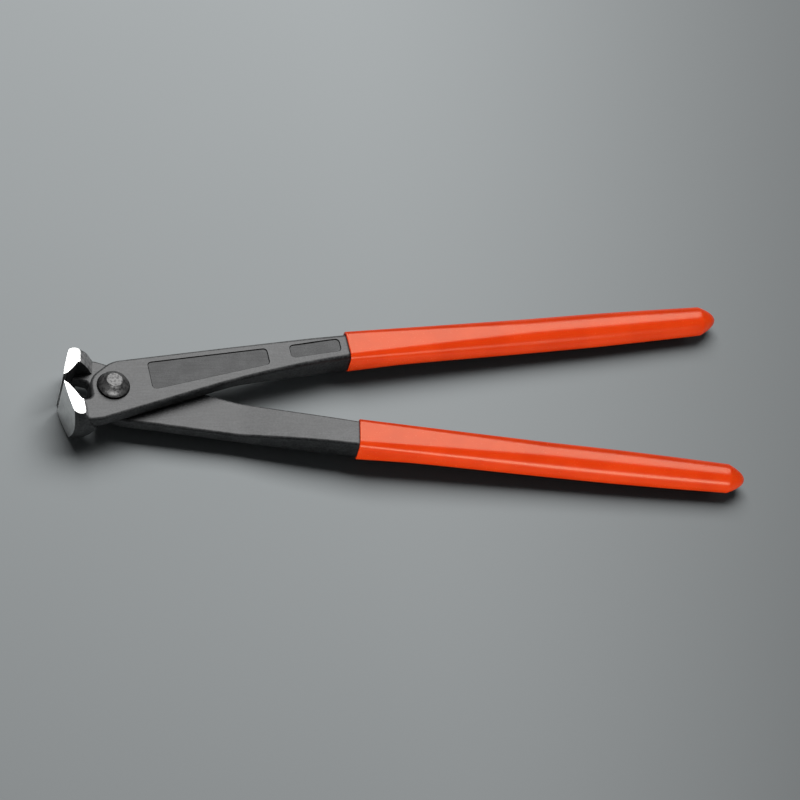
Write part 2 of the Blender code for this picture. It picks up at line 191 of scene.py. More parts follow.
def box_section(x: float, sides: Span, heights: Span, rounds: Span, steps: int) -> list[Point]:
    """A rounded section across a handle.

    Args:
        x: Place of the section.
        sides: Lowest and highest Y.
        heights: Lowest and highest Z.
        rounds: Radius of the two lower and of the two upper corners.
        steps: Segments in each corner.

    Returns:
        The section's points, from the outer side's foot over the top and back.
    """
    (low, high), (bottom, top), (foot, crown) = sides, heights, rounds
    corners = ((high - foot, bottom + foot, foot, -0.5), (high - crown, top - crown, crown, 0.0),
               (low + crown, top - crown, crown, 0.5), (low + foot, bottom + foot, foot, 1.0))
    points = []
    for y, z, radius, start in corners:
        for turn in spread(start, start + 0.5, steps):
            angle = math.pi * turn
            points.append((x, y + radius * math.cos(angle), z + radius * math.sin(angle)))
    return points


# --- meshes ---


def link(name: str, data: bpy.types.ID) -> Piece:
    """Make an object of some data and link it to the scene.

    Args:
        name: The object's name.
        data: Its mesh, light or camera.

    Returns:
        The object.
    """
    made = bpy.data.objects.new(name, data)
    bpy.context.scene.collection.objects.link(made)
    return made


class Draft:
    """A mesh being drawn in a piece's own frame."""

    def __init__(self) -> None:
        """Start an empty mesh."""
        self.bm = bmesh.new()

    def ring(self, points: Iterable[Sequence[float]]) -> tuple[list, list]:
        """Lay a closed loop through the points and return its vertices and edges."""
        verts = [self.bm.verts.new(point) for point in points]
        return verts, [self.bm.edges.new((verts[i - 1], verts[i])) for i in range(len(verts))]

    def loft(self, outlines: Sequence[Sequence[Sequence[float]]]) -> list:
        """Bridge closed outlines one to the next and cap both ends.

        Args:
            outlines: Closed outlines with the same number of points.

        Returns:
            The two cap faces.
        """
        rings = [self.ring(outline) for outline in outlines]
        for (_, first), (_, second) in zip(rings, rings[1:]):
            bmesh.ops.bridge_loops(self.bm, edges=first + second)
        return [self.bm.faces.new(rings[0][0]), self.bm.faces.new(rings[-1][0])]

    def spin(self, profile: Sequence[Span], steps: int, closed: bool = False) -> None:
        """Turn a profile about Z.

        Args:
            profile: Pairs of radius and height.
            steps: Segments in the full turn.
            closed: True if the last point joins the first.
        """
        verts = [self.bm.verts.new((radius, 0.0, height)) for radius, height in profile]
        pairs = list(zip(verts, verts[1:])) + ([(verts[-1], verts[0])] if closed else [])
        edges = [self.bm.edges.new(pair) for pair in pairs]
        bmesh.ops.spin(self.bm, geom=verts + edges, cent=(0, 0, 0), axis=(0, 0, 1),
                       angle=2 * math.pi, steps=steps, use_merge=True)

    def paint(self, zone: Zone, test: Callable[[Vector], bool] = lambda _: True) -> None:
        """Give all faces, or those whose middle passes a test, to a zone."""
        for face in (face for face in self.bm.faces if test(face.calc_center_median())):
            face.material_index = zone

    def finish(self, name: str, weld: float = 1e-7) -> Piece:
        """Close the mesh.

        Args:
            name: The object's name.
            weld: Distance within which points become one.

        Returns:
            The linked object.
        """
        bmesh.ops.remove_doubles(self.bm, verts=self.bm.verts, dist=weld)
        bmesh.ops.recalc_face_normals(self.bm, faces=self.bm.faces)
        mesh = bpy.data.meshes.new(name)
        self.bm.to_mesh(mesh)
        self.bm.free()
        return link(name, mesh)


class Forge:
    """Joins blanks and cutters with a piece, and then keeps only the resulting mesh."""

    def __init__(self, piece: Piece) -> None:
        """Take a piece and give it a slot for each zone.

        Args:
            piece: The piece that the others are joined with.
        """
        self.piece, self.tools = piece, []
        for _ in Zone:
            piece.data.materials.append(None)

    def combine(self, tool: Piece, operation: Operation) -> None:
        """Add one Boolean step.

        Args:
            tool: Blank or cutter.
            operation: What it does to the piece.
        """
        step = self.piece.modifiers.new(tool.name, "BOOLEAN")
        step.operation = operation.value
        step.solver = "EXACT"
        step.object = tool
        self.tools.append(tool)

    def freeze(self) -> None:
        """Replace the piece's mesh by the result and remove the tools."""
        graph = bpy.context.evaluated_depsgraph_get()
        result = bpy.data.meshes.new_from_object(self.piece.evaluated_get(graph))
        self.piece.modifiers.clear()
        self.piece.data = result
        for tool in self.tools:
            bpy.data.objects.remove(tool, do_unlink=True)


def shade(piece: Piece, sharp_angle: float, flatness: int = 60) -> None:
    """Smooth a piece's rounds, keep its crisp edges and let its large faces stay flat.

    Args:
        piece: The finished piece.
        sharp_angle: Angle between faces from which an edge is crisp.
        flatness: Weight of its large faces, from 1 to 100, where 50 treats all faces alike.
    """
    piece.data.shade_smooth()
    piece.data.set_sharp_from_angle(angle=sharp_angle)
    normals = piece.modifiers.new("weighted_normals", "WEIGHTED_NORMAL")
    normals.keep_sharp = True
    normals.mode = "FACE_AREA"
    normals.weight = flatness


# --- shader nodes ---


Value = Union["Wire", float, Sequence[float]]


class Wire:
    """An output socket that can be used in arithmetic."""

    def __init__(self, graph: "Graph", socket: bpy.types.NodeSocket) -> None:
        """Wrap a socket."""
        self.graph = graph
        self.socket = socket

    def __add__(self, other: Value) -> "Wire":
        """Sum."""
        return self.graph.math("ADD", self, other)

    def __radd__(self, other: Value) -> "Wire":
        """Sum."""
        return self.graph.math("ADD", other, self)

    def __sub__(self, other: Value) -> "Wire":
        """Difference."""
        return self.graph.math("SUBTRACT", self, other)

    def __rsub__(self, other: Value) -> "Wire":
        """Difference from a value."""
        return self.graph.math("SUBTRACT", other, self)

    def __mul__(self, other: Value) -> "Wire":
        """Product."""
        return self.graph.math("MULTIPLY", self, other)

    def __rmul__(self, other: Value) -> "Wire":
        """Product."""
        return self.graph.math("MULTIPLY", other, self)

    def swing(self, amount: float) -> "Wire":
        """The value about its middle, times an amount."""
        return (self - 0.5) * amount


class Graph:
    """A material's node tree, with short ways to add nodes."""

    def __init__(self, name: str) -> None:
        """Make a material with a Principled shader.

        Args:
            name: The material's name.
        """
        self.material = bpy.data.materials.new(name)
        self.material.use_nodes = True
        self.nodes = self.material.node_tree.nodes
        self.links = self.material.node_tree.links
        self.shader = self.nodes["Principled BSDF"]
        self.place = self.node("ShaderNodeTexCoord", {}, {}, "Object")

    def plug(self, socket: bpy.types.NodeSocket, value: Value) -> None:
        """Link a wire to an input, or set the input's constant."""
        if isinstance(value, Wire):
            self.links.new(value.socket, socket)
        else:
            socket.default_value = value

    def node(self, kind: str, settings: dict, inputs: dict, output: Union[int, str] = 0) -> Wire:
        """Add any node.

        Args:
            kind: Type of the node.
            settings: Properties to set before the sockets are used.
            inputs: Value or wire for each input, by name or number.
            output: Name or number of the wanted output.

        Returns:
            The wanted output.
        """
        made = self.nodes.new(kind)
        for key, value in settings.items():
            setattr(made, key, value)
        for key, value in inputs.items():
            self.plug(made.inputs[key], value)
        return Wire(self, made.outputs[output])

    def math(self, operation: str, first: Value, second: Value) -> Wire:
        """Scalar arithmetic."""
        return self.node("ShaderNodeMath", {"operation": operation}, {0: first, 1: second})

    def stretch(self, scale: Sequence[float]) -> Wire:
        """The piece's own coordinates, scaled differently along each axis."""
        return self.node("ShaderNodeVectorMath", {"operation": "MULTIPLY"},
                         {0: self.place, 1: scale})

    def noise(self, size: float, detail: float = 3.0, rough: float = 0.55,
              at: Optional[Wire] = None) -> Wire:
        """Fractal noise from 0 to 1.

        Args:
            size: Size of its largest features.
            detail: Number of octaves.
            rough: Weight of the finer octaves.
            at: Coordinates, or none for the piece's own.

        Returns:
            The noise's value.
        """
        return self.node("ShaderNodeTexNoise", {}, {
            "Vector": at or self.place, "Scale": 1 / size, "Detail": detail, "Roughness": rough})

    def cells(self, size: float, smoothness: float = 0.6) -> Wire:
        """Distance to the nearest of scattered points, for pits and peel."""
        return self.node("ShaderNodeTexVoronoi", {"feature": "SMOOTH_F1"}, {
            "Vector": self.place, "Scale": 1 / size, "Smoothness": smoothness}, "Distance")

    def window(self, value: Value, span: Span) -> Wire:
        """Stretch a span of a value to 0 to 1, smoothly and held at both ends."""
        return self.node("ShaderNodeMapRange", {"interpolation_type": "SMOOTHSTEP"}, {
            "Value": value, "From Min": span[0], "From Max": span[1]})

    def blend(self, factor: Value, *colours: Value) -> Wire:
        """Mix two colours, for which a Mix node has its inputs 6 and 7 and its output 2.

        Args:
            factor: Share of the second colour.
            colours: The two colours.

        Returns:
            The mixed colour.
        """
        full = [colour if isinstance(colour, Wire) else (*colour, 1.0) for colour in colours]
        return self.node("ShaderNodeMix", {"data_type": "RGBA"},
                         {0: factor, 6: full[0], 7: full[1]}, 2)

    def bump(self, height: Wire) -> None:
        """Drive the shader's normal with a height in metres."""
        self.finish(Normal=self.node("ShaderNodeBump", {}, {"Height": height, "Distance": 1.0}))

    def finish(self, **inputs: Value) -> Finish:
        """Set or link the shader's inputs.

        Args:
            inputs: Value or wire for each input, with _ for a space in its name.

        Returns:
            The material.
        """
        for key, value in inputs.items():
            self.plug(self.shader.inputs[key.replace("_", " ")], value)
        return self.material


# --- finishes ---


@dataclass(frozen=True)
class BlackOxide:
    """Forged steel, blackened: a fine grained skin with blotches and faint grinding lines."""

    name: str = "black_oxide"
    dark: Colour = (0.018, 0.019, 0.020)
    light: Colour = (0.124, 0.126, 0.128)
    contrast: Span = (0.36, 0.68)
    grain_share: float = 0.45
    blotch_share: float = 0.37
    line_share: float = 0.18
    roughness: float = 0.44
    blotch_rough: float = 0.16
    grain_rough: float = 0.14
    speck_rough: float = 0.10
    shine: float = 0.61
    grain: float = 0.0009
    grain_height: float = 0.000012
    forging: float = 0.006
    forging_height: float = 0.00006
    line_height: float = 0.35
    line_density: Point = (110, 1700, 1700)
    specks: Span = (0.56, 0.72)

    def make(self) -> Finish:
        """Build the material, whose lines' height is a share of the grain's.

        Returns:
            The material.
        """
        graph = Graph(self.name)
        grain = graph.noise(self.grain, detail=4, rough=0.6)
        speck = graph.window(graph.noise(self.grain / 2, detail=2), self.specks)
        blotch = graph.noise(self.forging, detail=4, rough=0.6)
        lines = graph.noise(1.0, detail=2, at=graph.stretch(self.line_density))
        tone = grain * self.grain_share + blotch * self.blotch_share + lines * self.line_share
        graph.bump(grain * self.grain_height + blotch * self.forging_height
                   + lines * (self.grain_height * self.line_height))
        return graph.finish(
            Base_Color=graph.blend(graph.window(tone, self.contrast), self.dark, self.light),
            Specular_IOR_Level=self.shine,
            Roughness=(self.roughness + blotch.swing(self.blotch_rough)
                       + grain.swing(self.grain_rough) + speck * self.speck_rough))


@dataclass(frozen=True)
class GroundSteel:
    """Bright steel with the fine parallel lines of a grinding wheel."""

    name: str = "ground_steel"
    dull: Colour = (0.74, 0.74, 0.73)
    bright: Colour = (0.90, 0.90, 0.89)
    contrast: Span = (0.35, 0.65)
    line_share: float = 0.45
    stain_share: float = 0.55
    roughness: float = 0.32
    line_rough: float = 0.22
    stain_rough: float = 0.10
    stain: float = 0.0035
    line: float = 0.00016
    line_length: float = 26
    line_height: float = 0.0000022

    def make(self) -> Finish:
        """Build the material, whose lines' length is a number of their widths.

        Returns:
            The material.
        """
        graph = Graph(self.name)
        along, across = 1 / (self.line * self.line_length), 1 / self.line
        lines = graph.noise(1.0, detail=3, rough=0.6, at=graph.stretch((across, along, across)))
        stain = graph.noise(self.stain, detail=3)
        tone = lines * self.line_share + stain * self.stain_share
        graph.bump(lines * self.line_height)
        return graph.finish(
            Base_Color=graph.blend(graph.window(tone, self.contrast), self.dull, self.bright),
            Metallic=1.0, Roughness=(self.roughness + lines.swing(self.line_rough)
                                     + stain.swing(self.stain_rough)))


@dataclass(frozen=True)
class PaintedEdgeGlint:
    """Painted highlight: a narrow bevel on crisp edges, coloured as patches of bright steel on the
    black skin, for the light that glints off the edges.
    """

    name: str = "painted_edge_glint"
    skin: Colour = (0.05, 0.051, 0.053)
    # bright colour of the painted edge highlight
    steel: Colour = (0.36, 0.355, 0.345)
    contrast: Span = (0.40, 0.62)
    metallic: float = 0.9
    roughness: float = 0.36
    skin_rough: float = 0.10
    patch: float = 0.0022

    def make(self) -> Finish:
        """Build the material.

        Returns:
            The material.
        """
        graph = Graph(self.name)
        # patches where the painted edge highlight shows
        glint_mask = graph.window(graph.noise(self.patch, detail=4, rough=0.65), self.contrast)
        return graph.finish(Base_Color=graph.blend(glint_mask, self.skin, self.steel),
                            Metallic=glint_mask * self.metallic,
                            Roughness=self.roughness + (1 - glint_mask) * self.skin_rough)


@dataclass(frozen=True)
class RivetSteel:
    """A pressed rivet head: dark steel with a pitted, mottled skin."""

    name: str = "rivet_steel"
    dark: Colour = (0.030, 0.030, 0.031)
    light: Colour = (0.150, 0.149, 0.148)
    contrast: Span = (0.28, 0.62)
    mottle_share: float = 0.7
    pit_share: float = 0.3
    metallic: float = 0.75
    roughness: float = 0.46
    mottle_rough: float = 0.24
    mottle: float = 0.0013
    mottle_height: float = 0.8
    fine: float = 0.0003
    fine_height: float = 0.1
    pit: float = 0.0011
    pit_height: float = 0.00007

    def make(self) -> Finish:
        """Build the material, whose mottle's and fine grain's heights are shares of a pit's.

        Returns:
            The material.
        """
        graph = Graph(self.name)
        pits = graph.cells(self.pit)
        mottle = graph.noise(self.mottle, detail=4, rough=0.65)
        fine = graph.noise(self.fine, detail=2)
        tone = mottle * self.mottle_share + pits * self.pit_share
        graph.bump(pits * self.pit_height + mottle * (self.pit_height * self.mottle_height)
                   + fine * (self.pit_height * self.fine_height))
        return graph.finish(
            Base_Color=graph.blend(graph.window(tone, self.contrast), self.dark, self.light),
            Metallic=self.metallic, Roughness=self.roughness + mottle.swing(self.mottle_rough))


@dataclass(frozen=True)
class DippedPlastic:
    """Soft glossy plastic with the faint peel and ripple of a dipped coat."""

    name: str = "dipped_plastic"
    deep: Colour = (0.645, 0.040, 0.0035)
    bright: Colour = (0.715, 0.050, 0.0050)
    contrast: Span = (0.3, 0.7)
    gloss: Colour = (1.0, 0.88, 0.62)
    glow: float = 0.35
    glow_reach: Point = (0.0035, 0.0009, 0.0004)
    roughness: float = 0.25
    ripple_rough: float = 0.06
    dust_rough: float = 0.08
    shine: float = 0.38
    peel: float = 0.0016
    peel_height: float = 0.000006
    ripple: float = 0.016
    ripple_height: float = 0.00005
    dust: float = 0.0009
    dusty: Span = (0.60, 0.78)

    def make(self) -> Finish:
        """Build the material.

        Returns:
            The material.
        """
        graph = Graph(self.name)
        peel = graph.cells(self.peel)
        ripple = graph.noise(self.ripple, detail=2)
        dust = graph.window(graph.noise(self.dust, detail=3), self.dusty)
        graph.bump(peel * self.peel_height + ripple * self.ripple_height)
        return graph.finish(
            Base_Color=graph.blend(graph.window(ripple, self.contrast), self.deep, self.bright),
            Subsurface_Weight=self.glow, Subsurface_Radius=self.glow_reach, Subsurface_Scale=1.0,
            Specular_Tint=(*self.gloss, 1.0), Specular_IOR_Level=self.shine,
            Roughness=(self.roughness + ripple.swing(self.ripple_rough)
                       + dust * self.dust_rough))


@dataclass(frozen=True)
class StudioPaper:
    """The pale matt sweep under the tool, with painted shade: it darkens from the tool's middle
    past its grips, for the lamp's light falling off.
    """

    name: str = "studio_paper"
    colour: Colour = (0.425, 0.452, 0.460)
    shade: Colour = (0.405, 0.432, 0.440)
    # painted shade: the darker paper past the grips, for the lamp's light falling off
    far: Colour = (0.188, 0.200, 0.204)
    painted_falloff_span: Span = (-0.02, 0.28)
    cloud: float = 0.25
    fibre: float = 0.0012
    fibre_height: float = 0.00001
    roughness: float = 0.85

    def make(self) -> Finish:
        """Build the material.

        Returns:
            The material.
        """
        graph = Graph(self.name)
        graph.bump(graph.noise(self.fibre, detail=3) * self.fibre_height)
        along = graph.node("ShaderNodeSeparateXYZ", {}, {"Vector": graph.place}, "X")
        near = graph.blend(graph.noise(self.cloud, detail=2), self.shade, self.colour)
        # the colour runs to the darker one along X: painted falloff of the lamp's light
        return graph.finish(Base_Color=graph.blend(graph.window(along, self.painted_falloff_span), near, self.far),
                            Roughness=self.roughness)


# --- placing ---


@dataclass(frozen=True)
class ToolPose:
    """Where the joint lies, how the tool tips towards its handles, and how far it is open."""

    pivot: Vector
    axis: Vector
    open_angle: float = math.radians(5.8)

    @classmethod
    def from_frame(cls, frame: dict) -> "ToolPose":
        """Read the joint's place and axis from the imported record."""
        joint = frame["joints"][0]
        return cls(Vector(joint["pos_m"]), Vector(joint["axis"]).normalized())

    @property
    def tool(self) -> Matrix:
        """The tool's frame."""
        tip = math.atan2(self.axis.x, self.axis.z)
        return Matrix.Translation(self.pivot) @ Matrix.Rotation(tip, 4, "Y")

    @property
    def upper(self) -> Matrix:
        """The upper lever's frame."""
        return self.tool @ Matrix.Rotation(self.open_angle, 4, "Z")

    @property
    def lower(self) -> Matrix:
        """The lower lever's frame, which is turned over."""
        turned = Matrix.Rotation(math.pi, 4, "X")
        return self.tool @ Matrix.Rotation(-self.open_angle, 4, "Z") @ turned


def settle(piece: Piece, place: Matrix, node: str, body: Body) -> None:
    """Put a piece where its CAD node is and hand it to the frame.

    Args:
        piece: The finished piece, drawn in its own frame.
        place: That frame.
        node: CAD node that it replaces.
        body: Body that it moves with.
    """
    piece.data.transform(place)
    piece.data.update()
    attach(piece, body.value)
    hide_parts(node)
    LOG.info("%s: %d faces", piece.name, len(piece.data.polygons))


# --- levers ---


@dataclass(frozen=True)
class HandleSizes:
    """Arm between the joint plate and the grip, with the heights that it shares with the plate."""

    plate_length: float = 0.054
    grip_start: float = 0.1080
    outer_at_pivot: float = 0.0131
    outer_at_grip: float = 0.0186
    inner_at_pivot: float = 0.0149
    inner_at_bend: float = 0.0038
    bend: float = 0.046
    sweep_power: float = 1.6
    width_at_grip: float = 0.0127
    half_height_at_grip: float = 0.0056
    dip_length: float = 0.018
    ramp_power: float = 1.6
    ramp_start: float = 0.05
    corner_radius: float = 0.0021
    lap_corner_radius: float = 0.0012
    plate_top: float = 0.0061
    lap_gap: float = 0.0003
    face_round: float = 0.0015
    lap_round: float = 0.0014
    corner_steps: int = 6
    bend_steps: int = 6
    stations: int = 24

    @property
    def slope(self) -> float:
        """Slope of the inner edge up to its bend."""
        return (self.inner_at_pivot - self.inner_at_bend) / self.bend

    def outer(self, x: float) -> float:
        """Y of the lever's outer edge."""
        rise = self.outer_at_grip - self.outer_at_pivot
        return self.outer_at_pivot + rise * x / self.grip_start

    def inner(self, x: float) -> float:
        """Find the lever's inner edge, straight past the joint and then sweeping out.

        Args:
            x: Place along the lever.

        Returns:
            The edge's Y.
        """
        straight = self.slope * x - self.inner_at_pivot
        if x <= self.bend:
            return straight
        at_grip = self.outer_at_grip - self.width_at_grip
        sweep = self.slope * self.grip_start - self.inner_at_pivot - at_grip
        share = (x - self.bend) / (self.grip_start - self.bend)
        return straight - sweep * share ** self.sweep_power

    def top(self, x: float) -> float:
        """Height of the lever's face."""
        dip = max(0.0, (x - self.grip_start + self.dip_length) / self.dip_length)
        return self.plate_top - (self.plate_top - self.half_height_at_grip) * smooth_step(dip)

    def section(self, x: float) -> list[Point]:
        """Draw the arm's section, whose lap side ramps down to the grip.

        Args:
            x: Place along the lever.

        Returns:
            The section's points.
        """
        share = (x - self.plate_length) / (self.grip_start - self.plate_length)
        eased = share - self.ramp_start * (1 - math.exp(-share / self.ramp_start))
        left = 1 - eased / (1 - self.ramp_start)
        fall = 1 - left ** self.ramp_power if share < 1 else 1.0
        bottom = self.lap_gap / 2 - (self.lap_gap / 2 + self.half_height_at_grip) * fall
        foot = self.lap_round + (self.lap_corner_radius - self.lap_round) * share
        crown = self.face_round + (self.corner_radius - self.face_round) * share
        return box_section(x, (self.inner(x), self.outer(x)), (bottom, self.top(x)),
                           (foot, crown), self.corner_steps)


@dataclass(frozen=True)
class PlateSizes:
    """Joint plate with the rivet's bore and the ring round its head."""

    hub_radius: float = 0.010
    neck_corner_drop: float = 0.0047
    neck_corner_radius: float = 0.002
    shoulder_reach: float = 0.0014
    shoulder_radius: float = 0.0135
    corner_radius: float = 0.008
    hub_steps: int = 28
    corner_steps: int = 12
    bore_radius: float = 0.0045
    bore_steps: int = 64
    groove_inner: float = 0.0060
    groove_outer: float = 0.0073
    groove_depth: float = 0.0003
    groove_steps: int = 8
    groove_turn: int = 96


@dataclass(frozen=True)
class JawSizes:
    """Jaw with its ground front, end faces and cutting edge.

    The throat's wall runs from the bevel down to the throat's bottom. `wall` gives the shares of
    that run and of that drop at each of its points, from the bottom back.
    """

    reach: float = 0.0227
    edge_past_centre: float = 0.0006
    half_width: float = 0.0122
    apex_past_centre: float = 0.0095
    front_radius: float = 0.110
    out: float = 0.0183
    out_at_ends: float = 0.0153
    corner_drop: float = 0.0014
    corner_run: float = 0.0019
    corner_radius: float = 0.0024
    heel_radius: float = 0.0021
    end_back: float = 0.0151
    lean_out: float = math.radians(5.5)
    lean_back: float = math.radians(9.5)
    flare_foot: float = 0.00865
    neck_taper: float = 0.0009
    neck_out: float = 0.0167
    neck_sink: float = 0.0022
    neck_inner_out: float = 0.0058
    throat_length: float = 0.0068
    throat_depth: float = 0.0080
    wall: tuple[Span, ...] = ((0.90, 0.92), (0.78, 0.77), (0.64, 0.61), (0.50, 0.45), (0.25, 0.22))
    heel_slope: float = math.tan(math.radians(11))
    bevel_length: float = 0.0016
    bevel_drop: float = 0.0012
    own_flare_power: float = 0.78
    far_flare_power: float = 1.7
    far_foot: float = 0.13
    far_foot_fall: float = 0.07
    levels: int = 16
    front_steps: int = 14
    round_steps: int = 7
    edge_break: float = 0.00012
    crisp_angle: float = math.radians(28)
    ground_slack: float = 0.00006
    back_slack: float = 0.0003

    def front(self, y: float) -> Vector:
        """Find a point of the ground front face.

        Args:
            y: Place along the cutting edge.

        Returns:
            The point.
        """
        across = y - self.apex_past_centre
        lean = self.front_radius - math.sqrt(self.front_radius ** 2 - across ** 2)
        return Vector((lean - self.reach, y))

    def end_height(self, x: float, y: float) -> float:
        """Height of the ground end face."""
        return (self.half_width + y * math.tan(self.lean_out)
                - (x + self.reach) * math.tan(self.lean_back))

    def level(self, point: Vector) -> float:
        """Share of the way out to the end face at which a point lies."""
        return point.z / self.end_height(point.x, point.y)

    def face_end(self, share: float) -> float:
        """Y where the ground front face ends at a level."""
        return self.corner_drop - self.out + (self.out - self.out_at_ends) * share ** 2

    def back(self, share: float) -> float:
        """Find the jaw's back at a level, where a flare runs out from its foot.

        Args:
            share: Way out to the end face, negative in the other plate's layer.

        Returns:
            The X of the back.
        """
        if share > 0:
            flare = share ** self.own_flare_power
        else:
            hollow = 1 - math.exp(share / self.far_foot_fall)
            far = abs(share) ** self.far_flare_power
            flare = (1 - self.far_foot) * far + self.far_foot * hollow
        return -(self.flare_foot + (self.end_back - self.flare_foot) * flare)

    def outline(self, share: float) -> list[Vector]:
        """Draw the jaw from above at a level.

        Args:
            share: Way out to the end face, negative in the other plate's layer.

        Returns:
            The outline's points.
        """
        back, face_end = self.back(share), self.face_end(share)
        front = [self.front(y) for y in spread(self.edge_past_centre, face_end, self.front_steps)]
        corner = front[-1] + Vector((self.corner_run, -self.corner_drop))
        taper = self.neck_taper * (1 - abs(share)) ** 2
        heel = Vector((back, face_end - self.corner_drop + taper))
        bevel = front[0] + Vector((self.bevel_length, -self.bevel_drop))
        bottom = Vector((self.throat_length - self.reach, -self.throat_depth))
        inside = Vector((back, -self.throat_depth - (back - bottom.x) * self.heel_slope))
        wall = [Vector((bevel.x + (bottom.x - bevel.x) * run,
                        bevel.y + (bottom.y - bevel.y) * drop)) for run, drop in self.wall]
        return (front + fillet(front[-1], corner, heel, self.corner_radius, self.round_steps)
                + fillet(corner, heel, inside, self.heel_radius, self.round_steps)
                + [inside, bottom] + wall + [bevel])

    def is_back(self, point: Vector) -> bool:
        """Tell if a face's middle lies on the flare behind the end face."""
        return abs(point.x - self.back(self.level(point))) < self.back_slack

    def is_ground(self, point: Vector) -> bool:
        """Tell if a face lies on the ground front or on the cutting bevel.

        Args:
            point: The face's middle.

        Returns:
            True if it does.
        """
        depth = point.x - self.front(point.y).x
        if point.y > -self.bevel_drop and depth > self.ground_slack:
            bevel_end = self.front(self.edge_past_centre).x + self.bevel_length
            return point.x < bevel_end + self.ground_slack
        return point.y > self.face_end(self.level(point)) and abs(depth) < self.ground_slack


@dataclass(frozen=True)
class PanelSizes:
    """Bare recessed panels in the upper lever's face.

    `wall` gives the levels of a panel's wall from its floor up, each with its drop below the face
    and its inset from the rim, as multiples of the depth.
    """

    depth: float = 0.0004
    wall: tuple[Span, ...] = ((1.0, 0.9), (0.7, 0.45), (0.0, 0.0), (-4.0, -0.6))
    radius: float = 0.0019
    long_start: float = 0.0169
    long_end: float = 0.0713
    outer_margin: float = 0.0031
    inner_margins: Span = (0.0072, 0.0040)
    short_start: float = 0.0813
    short_end: float = 0.1047
    short_width: float = 0.0068
    short_offset: float = 0.0008
    stride: float = 0.0015
    steps: int = 10


